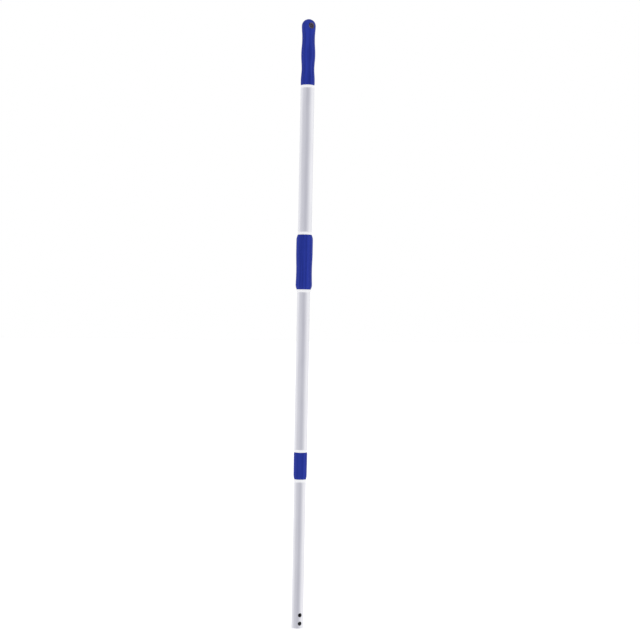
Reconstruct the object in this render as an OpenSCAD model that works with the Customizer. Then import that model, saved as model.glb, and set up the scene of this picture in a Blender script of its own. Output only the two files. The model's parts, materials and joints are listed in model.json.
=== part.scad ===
// Three-stage telescopic pole for a pole sander, standing upright on its tool end.
// Each joint is held by a twist lock inside the wider tube: turning the narrower tube draws a
// cone nut into a split sleeve, which spreads against the wider tube's wall.

/* [Pole] */
// Length of the whole pole, fully drawn out
pole_length = 1200; // [1180:1:1260]

/* [Tubes] */
// Outside diameter of the upper tube
upper_tube_d = 27; // [26.8:0.1:27.4]
// Wall thickness of the upper tube
upper_tube_wall = 0.7; // [0.6:0.05:0.75]
// Outside diameter of the middle tube
middle_tube_d = 25; // [24.8:0.1:25]
// Wall thickness of the middle tube
middle_tube_wall = 0.7; // [0.6:0.05:0.75]
// Outside diameter of the lower tube
lower_tube_d = 22.4; // [22:0.1:22.4]
// Wall thickness of the lower tube
lower_tube_wall = 1; // [0.9:0.05:1.1]

/* [End grip] */
// Length of the end grip that shows
grip_length = 131; // [125:1:140]
// Length of the spigot below the grip
grip_spigot_length = 34; // [24:1:40]
// Diameter of the hang hole
hang_hole_d = 12; // [10:0.5:13]
// Distance from the top of the grip down to the hang hole
hang_hole_drop = 14.5; // [14:0.5:17]

/* [Collars] */
// Height of the upper collar's lower end
upper_collar_z = 666.5; // [660:0.5:675]
// Length of the upper collar
upper_collar_length = 108; // [90:1:115]
// Height of the lower collar's lower end
lower_collar_z = 292.5; // [290:0.5:300]
// Length of the lower collar
lower_collar_length = 53; // [46:1:60]
// Thickness of the white rings that show at the collars and the grip
ring_height = 5.5; // [3:0.5:7]

/* [Tool end] */
// Diameter of the two cross holes
pin_hole_d = 8; // [6:0.5:9]
// Distance between the two cross holes
pin_hole_spacing = 16.6; // [15:0.2:20]
// Distance from the tool end to the first cross hole
pin_hole_edge = 9.2; // [8:0.2:10]
// Depth of the reamed socket for a tool's spigot
socket_depth = 45; // [40:1:60]

/* [Twist lock] */
// Diameter of the lock's stud
stud_d = 8; // [6:1:9]
// Length of the split sleeve
spreader_length = 24; // [20:1:26]

/* [Hidden] */
$fn = 96;

GRIP_BLUE = [0.16, 0.19, 0.56];
BRIGHT_ALUMINIUM = [0.80, 0.80, 0.83];
WHITE_NYLON = [0.93, 0.93, 0.91];
BLACK_NYLON = [0.12, 0.12, 0.13];
ZINC_STEEL = [0.62, 0.63, 0.65];

// Small gaps and edge sizes used throughout.
running_gap = 0.05;
stop_gap = 0.2;
tube_edge = 0.2;
moulded_edge = 0.4;
socket_ream = 0.3;

// Tube radii, outside and inside.
upper_out_r = upper_tube_d / 2;
upper_in_r = upper_out_r - upper_tube_wall;
middle_out_r = middle_tube_d / 2;
middle_in_r = middle_out_r - middle_tube_wall;
lower_out_r = lower_tube_d / 2;
lower_in_r = lower_out_r - lower_tube_wall;

// End grip, from its foot up: a low waist, a palm swell, a high waist with a short neck, and a
// domed head.
grip_foot_r = 13.85;
grip_waist_r = 12.6;
grip_swell_r = 14;
grip_head_r = 13.7;
grip_foot_wave = 22;
grip_low_waist_height = 32.5;
grip_half_wave = 29;
grip_neck = 5;
grip_dome_height = 13.5;
grip_shoulder = [0.7, 5];
grip_bottom_z = pole_length - grip_length;
grip_low_waist_z = grip_bottom_z + grip_low_waist_height;
grip_swell_z = grip_low_waist_z + grip_half_wave;
grip_high_waist_z = grip_swell_z + grip_half_wave;
grip_neck_z = grip_high_waist_z + grip_neck;
grip_dome_z = pole_length - grip_dome_height;
grip_core_r = 8.5;
grip_core_roof = 20;
grip_core_top_z = pole_length - hang_hole_drop - grip_core_roof;

// Guide bushes line the mouths of the wider tubes. The lower one sits inside its thin collar.
upper_bush_length = 26;
upper_bush_flange_r = upper_out_r + 0.5;
lower_bush_length = 24;
lower_bush_wall = 0.4;
lower_bush_in_r = lower_out_r + running_gap;
lower_bush_out_r = lower_bush_in_r + lower_bush_wall;
lower_bush_flange_r = lower_bush_out_r + 0.15;

// Upper collar: a waist between two swells, each so far out from the upper tube. Its ends come in
// over long shoulders to a narrow lip. A shoulder is [across, along] the pole.
upper_collar_lip = 0.3;
upper_collar_waist_share = 0.34;
upper_collar_swell_share = 0.68;
upper_collar_low_wall = 2.8;
upper_collar_waist_wall = 2.05;
upper_collar_high_wall = 2.9;
upper_collar_low_shoulder = [upper_collar_low_wall - upper_collar_lip, 9];
upper_collar_high_shoulder = [upper_collar_high_wall - upper_collar_lip, 10];
upper_collar_ring_r = upper_out_r + 0.5;
upper_collar_top_z = upper_collar_z + upper_collar_length;
upper_collar_waist_z = upper_collar_z + upper_collar_waist_share * upper_collar_length;
upper_collar_swell_z = upper_collar_z + upper_collar_swell_share * upper_collar_length;

// Lower collar: almost straight, with a long shoulder down to its bush.
lower_collar_low_r = middle_out_r + 0.6;
lower_collar_high_r = middle_out_r + 0.7;
lower_collar_low_shoulder = [lower_collar_low_r - lower_bush_out_r - 0.1, 9];
lower_collar_high_shoulder = [0.5, 4];
lower_collar_ring_r = middle_out_r + 0.2;
lower_collar_top_z = lower_collar_z + lower_collar_length;
lower_collar_spigot_length = 24;

// Ends of the tubes.
upper_tube_bottom_z = upper_collar_z + upper_bush_length;
upper_tube_top_z = grip_bottom_z - ring_height;
middle_tube_bottom_z = lower_collar_top_z + ring_height;
middle_tube_top_z = upper_tube_bottom_z + stop_gap;
lower_tube_top_z = lower_collar_top_z + lower_collar_spigot_length + stop_gap;
socket_r = lower_in_r + socket_ream;

// Twist lock, measured up from the top of the tube that carries it.
plug_flange_height = 4;
plug_length = 26;
plug_core_r = 7;
plug_core_depth = 5;
stud_depth = 20;
spreader_wall = 2.4;
spreader_slot_w = 2.4;
spreader_slot_floor = 5;
spreader_rib_count = 4;
cone_slope = 0.2;
cone_height = 14;
nut_depth = 12;
nut_head_height = 4;
nut_key_w = spreader_slot_w - 0.2;
nut_travel_room = 3;
cap_height = 4;
cap_r = 7;
stud_end = 2;
spreader_top = plug_flange_height + spreader_length;
nut_top = spreader_top + nut_head_height;
cap_bottom = nut_top + nut_travel_room;
stud_top = cap_bottom + cap_height + stud_end;

// Points down the shoulder at the lower end of an outline, at height z, from radius r further up,
// and up the shoulder at the upper end.
function low_shoulder(r, z, shoulder, steps = 8) =
    [for (i = [0:steps]) let (t = i / steps)
        [r - shoulder[0] * (1 - cos(90 * (1 - t))), z + shoulder[1] * t]];
function high_shoulder(r, z, shoulder, steps = 8) =
    [for (i = [0:steps]) let (t = i / steps)
        [r - shoulder[0] * (1 - cos(90 * t)), z - shoulder[1] * (1 - t)]];

// A smooth step from one value to another as t runs from 0 to 1, level at both ends and beyond.
function ease(low, high, t) = low + (high - low) * (1 - cos(180 * min(1, max(0, t)))) / 2;

// Radius of the grip's outline at height z.
function grip_r(z) =
    z < grip_low_waist_z ? ease(grip_waist_r, grip_foot_r, (grip_low_waist_z - z) / grip_foot_wave)
    : z < grip_swell_z ? ease(grip_waist_r, grip_swell_r, (z - grip_low_waist_z) / grip_half_wave)
    : z < grip_high_waist_z ? ease(grip_swell_r, grip_waist_r, (z - grip_swell_z) / grip_half_wave)
    : ease(grip_waist_r, grip_head_r, (z - grip_neck_z) / (grip_dome_z - grip_neck_z));

// Radius of the upper collar's outline at height z.
function upper_collar_r(z) = upper_out_r + (
    z < upper_collar_waist_z
    ? ease(upper_collar_waist_wall, upper_collar_low_wall,
        (upper_collar_waist_z - z) / (upper_collar_waist_z - upper_collar_z))
    : ease(upper_collar_waist_wall, upper_collar_high_wall,
        (z - upper_collar_waist_z) / (upper_collar_swell_z - upper_collar_waist_z)));

// A turned ring or tube with chamfered edges.
module sleeve(in_r, out_r, bottom, top, edge) {
    rotate_extrude()
        polygon([
            [in_r + edge, bottom], [out_r - edge, bottom], [out_r, bottom + edge],
            [out_r, top - edge], [out_r - edge, top], [in_r + edge, top],
            [in_r, top - edge], [in_r, bottom + edge]
        ]);
}

// A guide bush: a liner with a flange that shows below it.
module guide_bush(in_r, liner_r, flange_r, liner_bottom, liner_length) {
    bottom = liner_bottom - ring_height;
    top = liner_bottom + liner_length;
    edge = min(moulded_edge, (flange_r - in_r) / 4);
    rotate_extrude()
        polygon([
            [in_r + edge, bottom], [flange_r - edge, bottom],
            [flange_r, bottom + edge], [flange_r, liner_bottom],
            [liner_r, liner_bottom], [liner_r, top], [in_r, top], [in_r, bottom + edge]
        ]);
}

// The plug that closes a tube's top: barrel inside the tube, flange on the tube's end.
module end_plug(barrel_r, flange_r, tube_top) {
    difference() {
        union() {
            translate([0, 0, tube_top - plug_length])
                cylinder(r = barrel_r, h = plug_length);
            translate([0, 0, tube_top])
                cylinder(r = flange_r, h = plug_flange_height);
        }
        translate([0, 0, tube_top - stud_depth])
            cylinder(d = stud_d, h = stud_depth + plug_flange_height + 1);
        translate([0, 0, tube_top - plug_length - 1])
            cylinder(r = plug_core_r, h = plug_core_depth + 1);
    }
}

// The stud, with a chamfer at each end.
module lock_stud(tube_top) {
    chamfer = 1;
    bottom = tube_top - stud_depth;
    top = tube_top + stud_top;
    rotate_extrude()
        polygon([
            [0, bottom], [stud_d / 2 - chamfer, bottom], [stud_d / 2, bottom + chamfer],
            [stud_d / 2, top - chamfer], [stud_d / 2 - chamfer, top], [0, top]
        ]);
}

// The split sleeve: shallow grip grooves outside, a conical mouth, and four slots from the top.
module spreader(wall_r, tube_top) {
    out_r = wall_r - running_gap;
    mouth_r = wall_r - spreader_wall;
    bore_r = mouth_r - cone_slope * cone_height;
    bottom = tube_top + plug_flange_height;
    top = tube_top + spreader_top;
    rib_pitch = spreader_length / spreader_rib_count;
    groove_depth = 0.4;
    groove_w = 1.6;
    difference() {
        translate([0, 0, bottom])
            cylinder(r = out_r, h = spreader_length);
        translate([0, 0, bottom - 1])
            cylinder(r = bore_r, h = spreader_length + 2);
        translate([0, 0, top - cone_height])
            cylinder(r1 = bore_r, r2 = mouth_r, h = cone_height);
        for (i = [1:spreader_rib_count - 1])
            translate([0, 0, bottom + i * rib_pitch - groove_w / 2])
                difference() {
                    cylinder(r = out_r + 1, h = groove_w);
                    translate([0, 0, -1])
                        cylinder(r = out_r - groove_depth, h = groove_w + 2);
                }
        for (turn = [0, 90])
            rotate([0, 0, turn])
                translate([-wall_r - 1, -spreader_slot_w / 2, bottom + spreader_slot_floor])
                    cube([2 * wall_r + 2, spreader_slot_w, spreader_length]);
    }
}

// The cone nut: a cone in the sleeve's mouth, a flat head, and two keys in the sleeve's slots.
module cone_nut(wall_r, tube_top) {
    mouth_r = wall_r - spreader_wall - running_gap;
    top = tube_top + spreader_top;
    key_reach = wall_r - 1;
    difference() {
        union() {
            translate([0, 0, top - nut_depth])
                cylinder(r1 = mouth_r - cone_slope * nut_depth, r2 = mouth_r, h = nut_depth);
            translate([0, 0, top])
                cylinder(r = mouth_r, h = nut_head_height);
            translate([-key_reach, -nut_key_w / 2, top - nut_depth + 1])
                cube([2 * key_reach, nut_key_w, nut_depth - 1]);
        }
        translate([0, 0, top - nut_depth - 1])
            cylinder(r = stud_d / 2 + running_gap, h = nut_depth + nut_head_height + 2);
    }
}

// The cap that stops the nut at the stud's end.
module stud_cap(tube_top) {
    sleeve(stud_d / 2, cap_r, tube_top + cap_bottom, tube_top + cap_bottom + cap_height, moulded_edge);
}

module end_grip() {
    outline_steps = 26;
    dome_steps = 8;
    spigot_edge = 1;
    first_z = grip_bottom_z + grip_shoulder[1];
    spigot_r = upper_in_r;
    color(GRIP_BLUE)
        difference() {
            rotate_extrude()
                polygon(concat(
                    [[0, grip_bottom_z - grip_spigot_length],
                        [spigot_r - spigot_edge, grip_bottom_z - grip_spigot_length],
                        [spigot_r, grip_bottom_z - grip_spigot_length + spigot_edge],
                        [spigot_r, grip_bottom_z]],
                    low_shoulder(grip_r(first_z), grip_bottom_z, grip_shoulder),
                    [for (i = [1:outline_steps])
                        let (z = first_z + (grip_dome_z - first_z) * i / outline_steps) [grip_r(z), z]],
                    [for (i = [1:dome_steps])
                        let (a = 90 * i / dome_steps)
                        [grip_head_r * cos(a), grip_dome_z + grip_dome_height * sin(a)]]
                ));
            translate([0, 0, grip_bottom_z - grip_spigot_length - 1])
                cylinder(r = grip_core_r, h = grip_core_top_z - grip_bottom_z + grip_spigot_length + 1);
            translate([0, 0, grip_core_top_z])
                cylinder(r1 = grip_core_r, r2 = grip_core_r / 2, h = grip_core_r / 2);
            translate([0, grip_swell_r + 1, pole_length - hang_hole_drop])
                rotate([90, 0, 0])
                    cylinder(d = hang_hole_d, h = 2 * grip_swell_r + 2);
        }
}

module grip_end_ring() {
    color(WHITE_NYLON)
        sleeve(upper_in_r, upper_out_r, upper_tube_top_z, grip_bottom_z, tube_edge);
}

module upper_tube() {
    color(BRIGHT_ALUMINIUM)
        sleeve(upper_in_r, upper_out_r, upper_tube_bottom_z, upper_tube_top_z, tube_edge);
}

module upper_collar() {
    outline_steps = 20;
    first_z = upper_collar_z + upper_collar_low_shoulder[1];
    last_z = upper_collar_top_z - upper_collar_high_shoulder[1];
    color(GRIP_BLUE)
        rotate_extrude()
            polygon(concat(
                [[upper_out_r, upper_collar_z]],
                low_shoulder(upper_collar_r(first_z), upper_collar_z, upper_collar_low_shoulder),
                [for (i = [1:outline_steps - 1])
                    let (z = first_z + (last_z - first_z) * i / outline_steps) [upper_collar_r(z), z]],
                high_shoulder(upper_collar_r(last_z), upper_collar_top_z, upper_collar_high_shoulder),
                [[upper_out_r, upper_collar_top_z]]
            ));
}

module upper_collar_top_ring() {
    color(WHITE_NYLON)
        sleeve(upper_out_r, upper_collar_ring_r,
            upper_collar_top_z, upper_collar_top_z + ring_height, tube_edge);
}

module upper_guide_bush() {
    color(WHITE_NYLON)
        guide_bush(middle_out_r + running_gap, upper_out_r, upper_bush_flange_r,
            upper_collar_z, upper_bush_length);
}

module upper_spreader() {
    color(BLACK_NYLON)
        spreader(upper_in_r, middle_tube_top_z);
}

module upper_cone_nut() {
    color(WHITE_NYLON)
        cone_nut(upper_in_r, middle_tube_top_z);
}

module upper_end_plug() {
    color(BLACK_NYLON)
        end_plug(middle_in_r, upper_in_r - running_gap, middle_tube_top_z);
}

module upper_lock_stud() {
    color(ZINC_STEEL)
        lock_stud(middle_tube_top_z);
}

module upper_stud_cap() {
    color(BLACK_NYLON)
        stud_cap(middle_tube_top_z);
}

module middle_tube() {
    color(BRIGHT_ALUMINIUM)
        sleeve(middle_in_r, middle_out_r, middle_tube_bottom_z, middle_tube_top_z, tube_edge);
}

module lower_collar() {
    bush_top_z = lower_collar_z + lower_bush_length;
    spigot_top_z = lower_collar_top_z + lower_collar_spigot_length;
    color(GRIP_BLUE)
        rotate_extrude()
            polygon(concat(
                [[lower_bush_out_r, lower_collar_z]],
                low_shoulder(lower_collar_low_r, lower_collar_z, lower_collar_low_shoulder),
                high_shoulder(lower_collar_high_r, lower_collar_top_z, lower_collar_high_shoulder),
                [[middle_in_r, lower_collar_top_z], [middle_in_r, spigot_top_z],
                    [lower_bush_in_r, spigot_top_z], [lower_bush_in_r, bush_top_z],
                    [lower_bush_out_r, bush_top_z]]
            ));
}

module lower_collar_top_ring() {
    color(WHITE_NYLON)
        sleeve(middle_in_r, lower_collar_ring_r, lower_collar_top_z, middle_tube_bottom_z, tube_edge);
}

module lower_guide_bush() {
    color(WHITE_NYLON)
        guide_bush(lower_bush_in_r, lower_bush_out_r, lower_bush_flange_r,
            lower_collar_z, lower_bush_length);
}

module lower_spreader() {
    color(BLACK_NYLON)
        spreader(middle_in_r, lower_tube_top_z);
}

module lower_cone_nut() {
    color(WHITE_NYLON)
        cone_nut(middle_in_r, lower_tube_top_z);
}

module lower_end_plug() {
    color(BLACK_NYLON)
        end_plug(lower_in_r, middle_in_r - running_gap, lower_tube_top_z);
}

module lower_lock_stud() {
    color(ZINC_STEEL)
        lock_stud(lower_tube_top_z);
}

module lower_stud_cap() {
    color(BLACK_NYLON)
        stud_cap(lower_tube_top_z);
}

module lower_tube() {
    color(BRIGHT_ALUMINIUM)
        difference() {
            sleeve(lower_in_r, lower_out_r, 0, lower_tube_top_z, tube_edge);
            translate([0, 0, -1])
                cylinder(r = socket_r, h = socket_depth + 1);
            for (i = [0, 1])
                translate([0, lower_out_r + 1, pin_hole_edge + i * pin_hole_spacing])
                    rotate([90, 0, 0])
                        cylinder(d = pin_hole_d, h = lower_tube_d + 2);
        }
}

end_grip();
grip_end_ring();
upper_tube();
upper_collar();
upper_collar_top_ring();
upper_guide_bush();
upper_spreader();
upper_cone_nut();
upper_end_plug();
upper_lock_stud();
upper_stud_cap();
middle_tube();
lower_collar();
lower_collar_top_ring();
lower_guide_bush();
lower_spreader();
lower_cone_nut();
lower_end_plug();
lower_lock_stud();
lower_stud_cap();
lower_tube();
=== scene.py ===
"""A telescopic sanding pole in a white studio.

Every turned or moulded piece is made again here from the outline of its CAD node: corners are
rounded, smooth stretches are made finely curved, and the flutes, parting lines, deburred holes and
threads of the real pieces are added. The two spreaders and cone nuts keep their CAD shapes with
their edges eased.
"""

import json
import math

import bmesh
import bpy
from mathutils import Matrix, Vector


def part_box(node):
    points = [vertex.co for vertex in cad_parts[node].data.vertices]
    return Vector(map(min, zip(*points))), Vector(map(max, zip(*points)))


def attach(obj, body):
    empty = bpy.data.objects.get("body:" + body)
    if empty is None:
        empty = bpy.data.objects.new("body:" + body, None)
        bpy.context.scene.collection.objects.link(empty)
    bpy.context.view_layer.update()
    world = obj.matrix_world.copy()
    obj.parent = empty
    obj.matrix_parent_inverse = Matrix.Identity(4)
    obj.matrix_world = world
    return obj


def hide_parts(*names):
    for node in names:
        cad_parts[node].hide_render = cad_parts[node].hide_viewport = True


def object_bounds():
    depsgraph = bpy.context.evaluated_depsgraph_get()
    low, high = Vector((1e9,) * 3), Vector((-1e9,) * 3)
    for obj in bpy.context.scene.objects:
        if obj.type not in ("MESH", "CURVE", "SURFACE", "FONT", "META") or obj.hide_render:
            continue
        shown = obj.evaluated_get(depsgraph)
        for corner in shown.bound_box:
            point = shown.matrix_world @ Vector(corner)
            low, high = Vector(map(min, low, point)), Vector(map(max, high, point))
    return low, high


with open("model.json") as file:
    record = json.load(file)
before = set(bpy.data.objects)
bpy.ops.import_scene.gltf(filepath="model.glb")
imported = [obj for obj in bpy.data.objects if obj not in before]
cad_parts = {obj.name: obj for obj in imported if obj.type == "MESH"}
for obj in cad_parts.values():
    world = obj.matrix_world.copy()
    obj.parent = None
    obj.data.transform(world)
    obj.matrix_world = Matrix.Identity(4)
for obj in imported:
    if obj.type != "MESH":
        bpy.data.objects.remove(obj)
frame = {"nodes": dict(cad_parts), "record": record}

CAD_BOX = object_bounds()
MM = 0.001
TAU = 2 * math.pi

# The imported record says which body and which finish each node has, and where the holes are.
BODY_OF = {n: b for b, nodes in frame["record"]["behaviour"]["bodies"].items() for n in nodes}
SLOT_OF = {s["node"]: s["material_slot"] for s in frame["record"]["subparts"]}
MOUNTS = {m["name"]: m for m in frame["record"]["mounts"]}

# Reading the CAD outlines: vertices this close are on one ring, and a ring has at least this many,
# told apart to this many digits of a metre.
SAME_RING = 0.004 * MM
RING_LEAST = 20
RING_DIGITS = 6

# What counts as a corner, as straight along an outline, as flat across an edge, and as one point.
CORNER = math.radians(35)
STRAIGHT = math.radians(0.15)
FLAT = math.radians(1)
SAME_POINT = 0.001 * MM

# Fineness of the turned meshes: faces round them, and steps along their outlines.
SEGMENTS = 192
FLUTED_SEGMENTS = 288
THREAD_SEGMENTS = 72
LONG_STEP = 30 * MM
CURVE_STEP = 1.2 * MM
DRILLED_STEP = 8 * MM
SHORT = 0.01 * MM

# Edge rounding, and the most of a straight stretch that the rounding at one end may take up.
TUBE_EDGE = 0.25 * MM
MOULDED_EDGE = 0.3 * MM
EASED_EDGE = 0.15 * MM
EDGE_SHARE = 0.45
EDGE_STEPS = 4
EASED_STEPS = 2

# Flutes and parting lines of the blue mouldings. The flutes stop short of the ends and the hang hole.
FLUTES = 12
FLUTE_DEPTH = 0.5 * MM
FLUTE_END = 5 * MM
FLUTE_MARGIN = 3 * MM
GRIP_FLUTE_TOP = 12 * MM
SEAM_HEIGHT = 0.07 * MM
SEAM_WIDTH = 0.35 * MM

# Holes: how far the rims are rounded and the hang hole's wall is painted pale as light falling inside
# it, and the cutters' fineness.
GRIP_HOLE_RIM = 0.9 * MM
PIN_HOLE_RIM = 0.25 * MM
HOLE_LIGHT_REACH = 0.2 * MM
HOLE_SEGMENTS = 64
RIM_STEPS = 4
RIM_TURN = math.radians(75)

# Thread of the lock studs.
THREAD_PITCH = 2.5 * MM
THREAD_DEPTH = 0.6 * MM
THREAD_STEP = THREAD_PITCH / 12

# Finishes: a surface at least this far from the axis that faces it is a tube's inside.
BORE_LEAST = 0.5 * MM

# A colour Mix node's sockets: the factor, the two colours and the result.
MIX_FACTOR, MIX_FIRST, MIX_SECOND, MIX_RESULT = 0, 6, 7, 2

# The photograph's view: azimuth, distance, lean, and the pole's share and place in the picture.
VIEW_AZIMUTH = math.radians(-27.5)
VIEW_DISTANCE = 2.6
VIEW_ROLL = math.radians(1.11)
POLE_SHARE = 0.950
POLE_ASIDE = -0.0264
POLE_BELOW = -0.0056

# Studio: two wide white screens, one each side, with greyer gaps in front and behind. SCREENS is how
# bright the surroundings are at each angle round the pole, from behind by the left, the front and the
# right to behind again.
SCREENS = ((-180, 0.66), (-150, 0.90), (-120, 1.04), (-95, 0.93), (-70, 0.77), (-35, 0.73), (0, 0.635),
           (20, 0.65), (45, 0.80), (75, 1.00), (110, 1.08), (145, 0.97), (180, 0.66))
SHADE_TINT = (0.95, 0.95, 1.044)
TINT_RATE = 2
WHITE = (1, 1, 1, 1)
BACKDROP = 1.0
FILL_STRENGTH = 0.2
FILL_RISE = 0.5
FILL_SPREAD = math.radians(70)
FILL_LAMPS = (("front", 0, 1.0), ("right", 90, 0.6), ("back", 180, 0.8), ("left", -90, 0.6))
FLOOR_SIZE = 60
FLOOR_GLOW = 0.30


# ---------------------------------------------------------------- reading the frame


def rings_of(mesh):
    """The mesh's rings of vertices about the axis as (r, z), and the numbers of those each one joins."""
    rings = []
    members = []
    ring_at = []
    for v in mesh.vertices:
        r = math.hypot(v.co.x, v.co.y)
        for i, (ring_r, ring_z) in enumerate(rings):
            if abs(r - ring_r) < SAME_RING and abs(v.co.z - ring_z) < SAME_RING:
                break
        else:
            i = len(rings)
            rings.append((r, v.co.z))
            members.append(set())
        members[i].add((round(v.co.x, RING_DIGITS), round(v.co.y, RING_DIGITS)))
        ring_at.append(i)
    whole = [len(m) >= RING_LEAST or rings[i][0] < SAME_RING for i, m in enumerate(members)]
    joined = {i: set() for i, is_whole in enumerate(whole) if is_whole}
    for edge in mesh.edges:
        a, b = (ring_at[v] for v in edge.vertices)
        if a != b and whole[a] and whole[b]:
            joined[a].add(b)
            joined[b].add(a)
    return rings, joined


def profile(node):
    """The outline of a turned CAD node as (r, z) points in order, read from its rings of vertices.

    A solid node's outline ends on the axis."""
    rings, joined = rings_of(frame["nodes"][node].data)
    ends = [i for i in joined if len(joined[i]) == 1]
    here = min(ends or joined, key=lambda i: (rings[i][1], rings[i][0]))
    path = [here]
    while True:
        onward = [i for i in joined[here] if i not in path]
        if not onward:
            break
        here = min(onward, key=lambda i: rings[i])
        path.append(here)
    points = [(0 if rings[i][0] < SAME_RING else rings[i][0], rings[i][1]) for i in path]
    if ends and points[0][0] > 0:
        points.insert(0, (0, points[0][1]))
    if ends and points[-1][0] > 0:
        points.append((0, points[-1][1]))
    return points


# ---------------------------------------------------------------- outlines


def turn_at(points, i):
    """How sharply a closed outline turns at a point."""
    here = Vector(points[i])
    arriving = here - Vector(points[i - 1])
    leaving = Vector(points[(i + 1) % len(points)]) - here
    return arriving.angle(leaving, 0)


def rounded(points, edge, step=LONG_STEP):
    """A closed outline with its corners rounded and its smooth stretches finely curved.

    Straight stretches have a point every step."""
    points = [p for i, p in enumerate(points) if turn_at(points, i) > STRAIGHT or p[0] == 0]
    sharp = [turn_at(points, i) > CORNER for i in range(len(points))]
    first = sharp.index(True)
    points = points[first:] + points[:first]
    sharp = sharp[first:] + sharp[:first]
    count = len(points)
    trimmed = []
    for i in range(count):
        trimmed.append(corner_arc(points, i, edge) if sharp[i] and points[i][0] > 0 else [points[i]])
    outline = []
    for i in range(count):
        outline.extend(trimmed[i])
        start, end = Vector(trimmed[i][-1]), Vector(trimmed[(i + 1) % count][0])
        leaving = heading(points, i, sharp)
        arriving = heading(points, (i + 1) % count, sharp)
        outline.extend(between(start, end, leaving, arriving, step))
    return outline


def heading(points, i, sharp):
    """The direction of a smooth outline at a point, or nothing at a corner."""
    if sharp[i]:
        return None
    return (Vector(points[(i + 1) % len(points)]) - Vector(points[i - 1])).normalized()


def between(start, end, leaving, arriving, step):
    """Points along the curve from start to end, without its two ends."""
    chord = end - start
    if max(start.x, end.x) == 0 or chord.length < SHORT:
        return []
    straight = chord.normalized()
    leaving = (leaving or straight) * chord.length
    arriving = (arriving or straight) * chord.length
    is_straight = leaving.angle(chord, 0) < STRAIGHT and arriving.angle(chord, 0) < STRAIGHT
    count = math.ceil(chord.length / (step if is_straight else CURVE_STEP))
    points = []
    for k in range(1, count):
        t = k / count
        points.append(tuple(
            (2 * t ** 3 - 3 * t ** 2 + 1) * start + (t ** 3 - 2 * t ** 2 + t) * leaving
            + (3 * t ** 2 - 2 * t ** 3) * end + (t ** 3 - t ** 2) * arriving
        ))
    return points


def corner_arc(points, i, edge):
    """Points round a corner of a closed outline, at a radius of edge or as much as fits."""
    here = Vector(points[i])
    before = Vector(points[i - 1]) - here
    after = Vector(points[(i + 1) % len(points)]) - here
    half = before.angle(after) / 2
    cut = min(edge / math.tan(half), before.length * EDGE_SHARE, after.length * EDGE_SHARE)
    start, end = here + before.normalized() * cut, here + after.normalized() * cut
    return [
        tuple((1 - t) ** 2 * start + 2 * t * (1 - t) * here + t ** 2 * end)
        for t in (k / EDGE_STEPS for k in range(EDGE_STEPS + 1))
    ]


# ---------------------------------------------------------------- meshes


def turned(name, outline, segments=SEGMENTS, relief=None):
    """An object turned about the pole's axis from a closed outline of (r, z) points.

    relief(angle, r, z) is how far the surface is let in at a place."""
    mesh = bmesh.new()
    rings = []
    for r, z in outline:
        if r == 0:
            rings.append([mesh.verts.new((0, 0, z))])
            continue
        ring = []
        for k in range(segments):
            angle = TAU * k / segments
            reach = r - relief(angle, r, z) if relief else r
            ring.append(mesh.verts.new((reach * math.cos(angle), reach * math.sin(angle), z)))
        rings.append(ring)
    return skinned(name, mesh, rings)


def skinned(name, mesh, rings):
    """An object from rings of vertices, each joined to the next and the last to the first.

    A ring of one vertex is a pole, and two poles in a row aren't joined."""
    segments = max(len(ring) for ring in rings)
    for low, high in zip(rings, rings[1:] + rings[:1]):
        if len(low) == 1 and len(high) == 1:
            continue
        for k in range(segments):
            corners = [low[k % len(low)], low[(k + 1) % segments % len(low)],
                       high[(k + 1) % segments % len(high)], high[k % len(high)]]
            mesh.faces.new(list(dict.fromkeys(corners)))
    bmesh.ops.recalc_face_normals(mesh, faces=mesh.faces)
    return finished(name, mesh)


def finished(name, mesh):
    """An object in the scene from a bmesh, with smooth faces and its corners kept sharp."""
    data = bpy.data.meshes.new(name)
    mesh.to_mesh(data)
    mesh.free()
    soften(data)
    piece = bpy.data.objects.new(name, data)
    bpy.context.scene.collection.objects.link(piece)
    return piece


def soften(data):
    """Smooth shading, except across corners."""
    data.polygons.foreach_set("use_smooth", [True] * len(data.polygons))
    data.set_sharp_from_angle(angle=CORNER)


def drilled(piece, cutter):
    """The piece with the cutter's shape taken out of it. The cutter is thrown away."""
    cut = piece.modifiers.new("cut", "BOOLEAN")
    cut.object = cutter
    cut.solver = "EXACT"
    graph = bpy.context.evaluated_depsgraph_get()
    data = bpy.data.meshes.new_from_object(piece.evaluated_get(graph))
    mesh = bmesh.new()
    mesh.from_mesh(data)
    bmesh.ops.dissolve_degenerate(mesh, dist=SAME_POINT, edges=mesh.edges)
    mesh.to_mesh(data)
    mesh.free()
    piece.modifiers.clear()
    piece.data = data
    soften(data)
    bpy.data.objects.remove(cutter)
    return piece


def outer_radius(points, z):
    """The largest radius of a closed outline at a height."""
    crossings = []
    for (r, low), (next_r, high) in zip(points, points[1:] + points[:1]):
        if low != high and min(low, high) <= z <= max(low, high):
            crossings.append(r + (next_r - r) * (z - low) / (high - low))
    return max(crossings)


def cross_cutter(radius, rim, height, points):
    """A cutter along Y for a cross hole through a turned outline, its mouths rounded by the rim."""
    turns = [RIM_TURN * step / RIM_STEPS for step in range(RIM_STEPS + 1)]
    flare = [(radius + rim * (1 - math.cos(a)), rim * (math.sin(a) - 1)) for a in turns]
    flare.append((radius + 2 * rim, rim))
    past_all = outer_radius(points, height) + 2 * rim
    mouth = []
    for k in range(HOLE_SEGMENTS):
        across, up = math.cos(TAU * k / HOLE_SEGMENTS), math.sin(TAU * k / HOLE_SEGMENTS)
        outside = outer_radius(points, height + radius * up)
        mouth.append((across, up, math.sqrt(outside ** 2 - (radius * across) ** 2)))
    mesh = bmesh.new()
    rings = [[mesh.verts.new((0, -past_all, height))]]
    for side, levels in ((-1, reversed(flare)), (1, flare)):
        for spread, past in levels:
            rings.append([
                mesh.verts.new((spread * across, side * (surface + past), height + spread * up))
                for across, up, surface in mouth
            ])
    rings.append([mesh.verts.new((0, past_all, height))])
    return skinned("cutter", mesh, rings)


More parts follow.
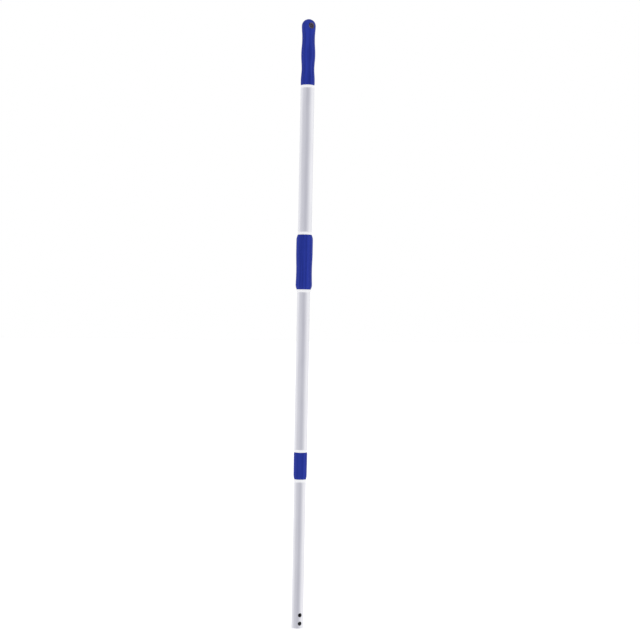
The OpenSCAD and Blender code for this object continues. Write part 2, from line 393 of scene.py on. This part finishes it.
def eased(node):
    """A copy of a CAD node's mesh with its sharp edges slightly bevelled."""
    mesh = bmesh.new()
    mesh.from_mesh(frame["nodes"][node].data)
    bmesh.ops.remove_doubles(mesh, verts=mesh.verts, dist=SAME_POINT)
    bmesh.ops.dissolve_limit(mesh, angle_limit=FLAT, verts=mesh.verts, edges=mesh.edges)
    edges = [e for e in mesh.edges if e.is_manifold and e.calc_face_angle() > CORNER]
    bmesh.ops.bevel(mesh, geom=edges, offset=EASED_EDGE, segments=EASED_STEPS, profile=0.5,
                    affect="EDGES", clamp_overlap=True)
    return finished(node + "_piece", mesh)


def stand_for(piece, node):
    """The piece replaces a CAD node, rides on its body and takes its finish."""
    slot = SLOT_OF[node]
    piece.data.materials.clear()
    piece.data.materials.append(FINISHES[slot])
    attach(piece, BODY_OF[node])
    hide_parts(node)
    return piece


# ---------------------------------------------------------------- materials


class Nodes:
    """A node tree, with short calls to add and link its nodes."""

    def __init__(self, tree):
        self.tree = tree

    def add(self, kind, **values):
        node = self.tree.nodes.new(kind)
        for key, value in values.items():
            if hasattr(node, key):
                setattr(node, key, value)
            else:
                node.inputs[key].default_value = value
        return node

    def link(self, source, target):
        self.tree.links.new(source, target)

    def span(self, source, low, high, start=0.3, end=0.7):
        """The source's start to end range turned into low to high."""
        node = self.add("ShaderNodeMapRange")
        for key, value in (("From Min", start), ("From Max", end), ("To Min", low), ("To Max", high)):
            node.inputs[key].default_value = value
        self.link(source, node.inputs["Value"])
        return node.outputs["Result"]

    def maths(self, operation, *terms):
        """The result of a Math node on sockets and numbers."""
        node = self.add("ShaderNodeMath", operation=operation)
        for socket, term in zip(node.inputs, terms):
            if isinstance(term, (int, float)):
                socket.default_value = term
            else:
                self.link(term, socket)
        return node.outputs["Value"]

    def vector_maths(self, operation, source, other=None):
        """A Vector Math node on a socket, and on another socket or a fixed vector."""
        node = self.add("ShaderNodeVectorMath", operation=operation)
        self.link(source, node.inputs[0])
        if isinstance(other, bpy.types.NodeSocket):
            self.link(other, node.inputs[1])
        elif other is not None:
            node.inputs[1].default_value = other
        return node


class Shader(Nodes):
    """A material's nodes, which feed its Principled surface."""

    def __init__(self, name):
        self.material = bpy.data.materials.new(name)
        self.material.use_nodes = True
        super().__init__(self.material.node_tree)
        self.surface = self.tree.nodes["Principled BSDF"]
        self.texture = self.add("ShaderNodeTexCoord")
        self.place = self.texture.outputs["Object"]

    def feed(self, name, source):
        """Links a source to one of the surface's own sockets."""
        self.link(source, self.surface.inputs[name])

    def set(self, **values):
        for key, value in values.items():
            self.surface.inputs[key.replace("_", " ")].default_value = value

    def noise(self, stretch, detail=4.0, rough=0.55):
        """Noise over the object, at a stretch per metre along X, Y and Z."""
        mapping = self.add("ShaderNodeMapping")
        mapping.inputs["Scale"].default_value = stretch
        self.link(self.place, mapping.inputs["Vector"])
        noise = self.add("ShaderNodeTexNoise", Scale=1.0, Detail=detail, Roughness=rough)
        self.link(mapping.outputs["Vector"], noise.inputs["Vector"])
        return noise.outputs["Fac"]

    def blend(self, source, first, second):
        """A mix of two colours, each fixed or a socket, by the source."""
        node = self.add("ShaderNodeMix", data_type="RGBA")
        self.link(source, node.inputs[MIX_FACTOR])
        for number, colour in ((MIX_FIRST, first), (MIX_SECOND, second)):
            if isinstance(colour, tuple):
                node.inputs[number].default_value = (*colour, 1)
            else:
                self.link(colour, node.inputs[number])
        return node.outputs[MIX_RESULT]

    def inside(self):
        """1 where the surface faces the pole's axis, and 0 where it faces away."""
        level = self.vector_maths("MULTIPLY", self.place, (1, 1, 0)).outputs["Vector"]
        outward = self.vector_maths("DOT_PRODUCT", level, self.texture.outputs["Normal"])
        return self.maths("LESS_THAN", outward.outputs["Value"], -BORE_LEAST)

    def near_hole(self, mount, reach):
        """1 on the wall of a cross hole along Y, fading to 0 at a reach outside its radius."""
        offset = self.vector_maths("SUBTRACT", self.place, mount["pos_m"]).outputs["Vector"]
        across = self.vector_maths("MULTIPLY", offset, (1, 0, 1)).outputs["Vector"]
        distance = self.vector_maths("LENGTH", across).outputs["Value"]
        radius = mount["dims"]["r_mm"] * MM
        return self.span(distance, 1, 0, start=radius, end=radius + reach)

    def bump(self, source, depth, strength):
        """Relief of a depth in metres on the surface."""
        node = self.add("ShaderNodeBump", Strength=strength, Distance=depth)
        self.link(source, node.inputs["Height"])
        self.feed("Normal", node.outputs["Normal"])


def tube_aluminium():
    """Satin anodised tube: lines drawn along it, cloudiness, slide marks, and a duller inside whose
    colour is painted dark as shade.
    """
    s = Shader("tube_aluminium")
    grey, pale = (0.80, 0.80, 0.835), (0.86, 0.86, 0.89)
    scuffed, painted_bore_shade = (0.70, 0.70, 0.73), (0.10, 0.10, 0.105)
    lines = s.noise((2600, 2600, 9), detail=3)
    clouds = s.noise((70, 70, 14), detail=5)
    marks = s.span(s.noise((900, 900, 3), detail=2), 0, 1, start=0.66, end=0.72)
    outside = s.blend(marks, s.blend(s.span(clouds, 0, 1), grey, pale), scuffed)
    inside = s.inside()
    # Painted shade: surfaces facing the axis take a dark colour, standing for the shade inside the
    # tube's bore.
    s.feed("Base Color", s.blend(inside, outside, painted_bore_shade))
    cloudy_lines = s.maths("MULTIPLY_ADD", clouds, 0.6, lines)
    satin = s.span(cloudy_lines, 0.27, 0.38, start=0.5, end=1.1)
    s.feed("Roughness", s.maths("MULTIPLY_ADD", inside, 0.35, satin))
    s.bump(lines, 0.02 * MM, 0.35)
    s.set(Metallic=1.0)
    return s.material


def grip_blue():
    """Moulded polypropylene: deep blue with a fine spark-eroded texture, lengthwise rub marks, and the
    hang hole's wall painted pale in patches as light falling inside it."""
    s = Shader("grip_blue")
    deep, bright, hole_light_colour = (0.009, 0.023, 0.235), (0.0175, 0.037, 0.334), (0.27, 0.21, 0.25)
    grain = s.noise((2400, 2400, 2400), detail=5, rough=0.65)
    clouds = s.noise((60, 60, 30), detail=3)
    patches = s.noise((150, 150, 40), detail=4)
    streaks = s.noise((210, 210, 3), detail=2)
    cloudy = s.maths("MULTIPLY_ADD", grain, 0.15, s.maths("MULTIPLY_ADD", clouds, 0.25, streaks))
    blue = s.blend(s.span(cloudy, 0, 1, start=0.55, end=0.85), deep, bright)
    # Painted light: the hang hole's wall takes a pale colour in patches, standing for light inside the
    # hole.
    pale_hole_light = s.maths("MULTIPLY", s.near_hole(MOUNTS["hang_hole"], HOLE_LIGHT_REACH), s.span(patches, 0.5, 1))
    s.feed("Base Color", s.blend(pale_hole_light, blue, hole_light_colour))
    s.feed("Roughness", s.maths("ADD", s.span(patches, -0.06, 0.06), s.span(grain, 0.54, 0.66)))
    s.bump(grain, 0.12 * MM, 0.35)
    s.set(Specular_IOR_Level=0.15)
    return s.material


def white_nylon():
    """Natural white nylon, a little waxy."""
    s = Shader("white_nylon")
    cream, white = (0.87, 0.87, 0.865), (0.92, 0.92, 0.915)
    grain = s.noise((1800, 1800, 1800), detail=4)
    s.feed("Base Color", s.blend(s.span(grain, 0, 1), cream, white))
    s.feed("Roughness", s.span(grain, 0.40, 0.52))
    s.bump(grain, 0.05 * MM, 0.3)
    s.set(Specular_IOR_Level=0.4)
    return s.material


def lock_nylon():
    """Black glass-filled nylon with flow marks."""
    s = Shader("lock_nylon")
    black, charcoal = (0.018, 0.018, 0.020), (0.045, 0.045, 0.048)
    grain = s.noise((2600, 2600, 2600), detail=5)
    flow = s.noise((240, 240, 60), detail=3)
    s.feed("Base Color", s.blend(s.span(flow, 0, 1), black, charcoal))
    s.feed("Roughness", s.span(grain, 0.42, 0.62))
    s.bump(grain, 0.08 * MM, 0.35)
    return s.material


def stud_steel():
    """Zinc-plated steel, slightly mottled and warm in places."""
    s = Shader("stud_steel")
    cool, warm = (0.52, 0.53, 0.56), (0.64, 0.63, 0.60)
    spangle = s.noise((420, 420, 420), detail=4)
    s.feed("Base Color", s.blend(s.span(spangle, 0, 1), cool, warm))
    s.feed("Roughness", s.span(spangle, 0.24, 0.42))
    s.bump(spangle, 0.03 * MM, 0.3)
    s.set(Metallic=1.0)
    return s.material


FINISHES = {
    "tube_aluminium": tube_aluminium(),
    "grip_blue": grip_blue(),
    "white_nylon": white_nylon(),
    "lock_nylon": lock_nylon(),
    "stud_steel": stud_steel(),
}


# ---------------------------------------------------------------- pieces


def eased_step(t):
    """0 below 0, 1 above 1 and a smooth step between them."""
    t = min(1, max(0, t))
    return t * t * (3 - 2 * t)


def fluted(bore, low, high):
    """Relief for a blue moulding outside its bore: flutes between two heights, and a parting line on
    each side."""
    def relief(angle, r, z):
        if r < bore:
            return 0
        off = abs(math.sin(angle)) * r
        seam = SEAM_HEIGHT * (1 - math.exp(-((off / SEAM_WIDTH) ** 2)))
        groove = (0.5 - 0.5 * math.cos(FLUTES * angle)) ** 2
        fade = eased_step((z - low) / FLUTE_END) * eased_step((high - z) / FLUTE_END)
        return (seam + FLUTE_DEPTH * groove) * fade
    return relief


def thread_from(base, top):
    """Relief for a rolled right-hand thread between two heights."""
    def relief(angle, r, z):
        fade = eased_step((z - base) / THREAD_PITCH) * eased_step((top - z) / THREAD_PITCH)
        wave = 0.5 + 0.5 * math.cos(TAU * z / THREAD_PITCH - angle)
        return THREAD_DEPTH * fade * eased_step(wave)
    return relief


def plain_piece(node, edge):
    """A turned node with its corners rounded."""
    return stand_for(turned(node + "_piece", rounded(profile(node), edge)), node)


def tube_end_piece(node):
    """The lower tube with its two cross holes deburred."""
    points = profile(node)
    piece = turned(node + "_piece", rounded(points, TUBE_EDGE, DRILLED_STEP))
    holes = MOUNTS["head_pin_holes"]
    radius, spacing = (holes["dims"][key] * MM for key in ("hole_r_mm", "spacing_y_mm"))
    for side in (-0.5, 0.5):
        height = holes["pos_m"][2] + side * spacing
        drilled(piece, cross_cutter(radius, PIN_HOLE_RIM, height, points))
    return stand_for(piece, node)


def grip_piece(node):
    """The end grip: fluted below the hang hole, which has a rounded rim."""
    points = profile(node)
    hole = MOUNTS["hang_hole"]
    radius, height = hole["dims"]["r_mm"] * MM, hole["pos_m"][2]
    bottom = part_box("grip_end_ring")[1].z
    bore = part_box("middle_tube")[1].x
    flutes = fluted(bore, bottom + FLUTE_MARGIN, height - GRIP_FLUTE_TOP)
    outline = rounded(points, MOULDED_EDGE, CURVE_STEP)
    piece = turned(node + "_piece", outline, FLUTED_SEGMENTS, flutes)
    drilled(piece, cross_cutter(radius, GRIP_HOLE_RIM, height, points))
    return stand_for(piece, node)


def collar_piece(node, bush):
    """A collar, fluted between its rounded ends and bored for its guide bush."""
    low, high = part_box(node)[0].z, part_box(node + "_top_ring")[0].z
    flutes = fluted(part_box(bush)[1].x, low + FLUTE_MARGIN, high - FLUTE_MARGIN)
    outline = rounded(profile(node), MOULDED_EDGE, CURVE_STEP)
    return stand_for(turned(node + "_piece", outline, FLUTED_SEGMENTS, flutes), node)


def stud_piece(node, plug):
    """A stud with a thread above its plug."""
    base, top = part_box(plug)[1].z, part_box(node)[1].z
    outline = rounded(profile(node), MOULDED_EDGE, THREAD_STEP)
    piece = turned(node + "_piece", outline, THREAD_SEGMENTS, thread_from(base, top))
    return stand_for(piece, node)


for node in ("upper_tube", "middle_tube"):
    plain_piece(node, TUBE_EDGE)
for node in ("grip_end_ring", "upper_collar_top_ring", "lower_collar_top_ring",
             "upper_guide_bush", "lower_guide_bush", "upper_end_plug", "lower_end_plug",
             "upper_stud_cap", "lower_stud_cap"):
    plain_piece(node, MOULDED_EDGE)
for stage in ("upper", "lower"):
    collar_piece(stage + "_collar", stage + "_guide_bush")
    stud_piece(stage + "_lock_stud", stage + "_end_plug")
    for part in ("_spreader", "_cone_nut"):
        stand_for(eased(stage + part), stage + part)
tube_end_piece("lower_tube")
grip_piece("end_grip")


# ---------------------------------------------------------------- studio


def towards(azimuth):
    """The level direction from the pole to a place at that azimuth, seen from above."""
    return Vector((math.sin(azimuth), -math.cos(azimuth), 0))


def white_world():
    """A world that lights and reflects as the screens do, and that the camera sees plain white."""
    world = bpy.data.worlds.new("studio")
    world.use_nodes = True
    n = Nodes(world.node_tree)
    n.tree.nodes.clear()
    direction = n.add("ShaderNodeTexCoord").outputs["Generated"]
    aside, front = (
        n.vector_maths("DOT_PRODUCT", direction, towards(VIEW_AZIMUTH + quarter)).outputs["Value"]
        for quarter in (math.pi / 2, 0)
    )
    turn = n.span(n.maths("ARCTAN2", aside, front), 0, 1, start=-math.pi, end=math.pi)
    lit = n.add("ShaderNodeBackground")
    seen = n.add("ShaderNodeBackground", Strength=BACKDROP, Color=WHITE)
    mix = n.add("ShaderNodeMixShader")
    n.link(screen_ramp(n, turn), lit.inputs["Color"])
    n.link(n.add("ShaderNodeLightPath").outputs["Is Camera Ray"], mix.inputs["Fac"])
    n.link(lit.outputs[0], mix.inputs[1])
    n.link(seen.outputs[0], mix.inputs[2])
    n.link(mix.outputs[0], n.add("ShaderNodeOutputWorld").inputs["Surface"])
    bpy.context.scene.world = world


def screen_ramp(n, turn):
    """The colour of the screens by the share of a turn round the pole, from behind."""
    ramp = n.add("ShaderNodeValToRGB")
    stops = ramp.color_ramp
    stops.interpolation = "EASE"
    while len(stops.elements) < len(SCREENS):
        stops.elements.new(1)
    for stop, (degrees, grey) in zip(stops.elements, SCREENS):
        stop.position = (degrees + 180) / 360
        stop.color = (*screen_colour(grey), 1)
    n.link(turn, ramp.inputs["Fac"])
    return ramp.outputs["Color"]


def screen_colour(grey):
    """A grey of the screens, tinted the more the darker it is."""
    brightest = max(grey for degrees, grey in SCREENS)
    shade = TINT_RATE * (1 - grey / brightest)
    return [grey * (1 + (tint - 1) * shade) for tint in SHADE_TINT]


def fill_lights():
    """Soft lights from four sides that reflections don't see, strongest from the front."""
    for name, turn, share in FILL_LAMPS:
        data = bpy.data.lights.new(name, "SUN")
        data.energy = FILL_STRENGTH * share
        data.angle = FILL_SPREAD
        lamp = bpy.data.objects.new(name, data)
        towards_lamp = towards(VIEW_AZIMUTH + math.radians(turn)) + Vector((0, 0, FILL_RISE))
        lamp.matrix_world = towards_lamp.to_track_quat("Z", "Y").to_matrix().to_4x4()
        lamp.visible_glossy = False
        bpy.context.scene.collection.objects.link(lamp)


def pale_floor():
    """A plain pale floor under the pole, bright enough to run into the backdrop."""
    mesh = bmesh.new()
    bmesh.ops.create_grid(mesh, x_segments=1, y_segments=1, size=FLOOR_SIZE / 2)
    floor = finished("floor", mesh)
    s = Shader("floor_paper")
    grey, pale = (0.88, 0.88, 0.88), (0.90, 0.90, 0.90)
    s.feed("Base Color", s.blend(s.noise((3, 3, 3), detail=2), grey, pale))
    s.set(Roughness=0.9, Specular_IOR_Level=0.1, Emission_Color=WHITE,
          Emission_Strength=FLOOR_GLOW)
    floor.data.materials.append(s.material)
    floor.visible_glossy = False


def photo_camera():
    """The camera that frames the pole as the photograph does."""
    low, high = CAD_BOX
    length = high[2] - low[2]
    field = length / POLE_SHARE
    right = Vector((math.cos(VIEW_AZIMUTH), math.sin(VIEW_AZIMUTH), 0))
    middle = Vector((0, 0, (low[2] + high[2]) / 2 - field * POLE_BELOW)) - right * field * POLE_ASIDE
    place = middle + towards(VIEW_AZIMUTH) * VIEW_DISTANCE
    data = bpy.data.cameras.new("camera")
    data.angle = 2 * math.atan(field / 2 / VIEW_DISTANCE)
    data.clip_end = FLOOR_SIZE
    camera = bpy.data.objects.new("camera", data)
    look = (middle - place).to_track_quat("-Z", "Y").to_matrix().to_4x4()
    camera.matrix_world = Matrix.Translation(place) @ look @ Matrix.Rotation(VIEW_ROLL, 4, "Z")
    bpy.context.scene.collection.objects.link(camera)
    bpy.context.scene.camera = camera


white_world()
fill_lights()
pale_floor()
photo_camera()
bpy.context.scene.view_settings.view_transform = "Standard"
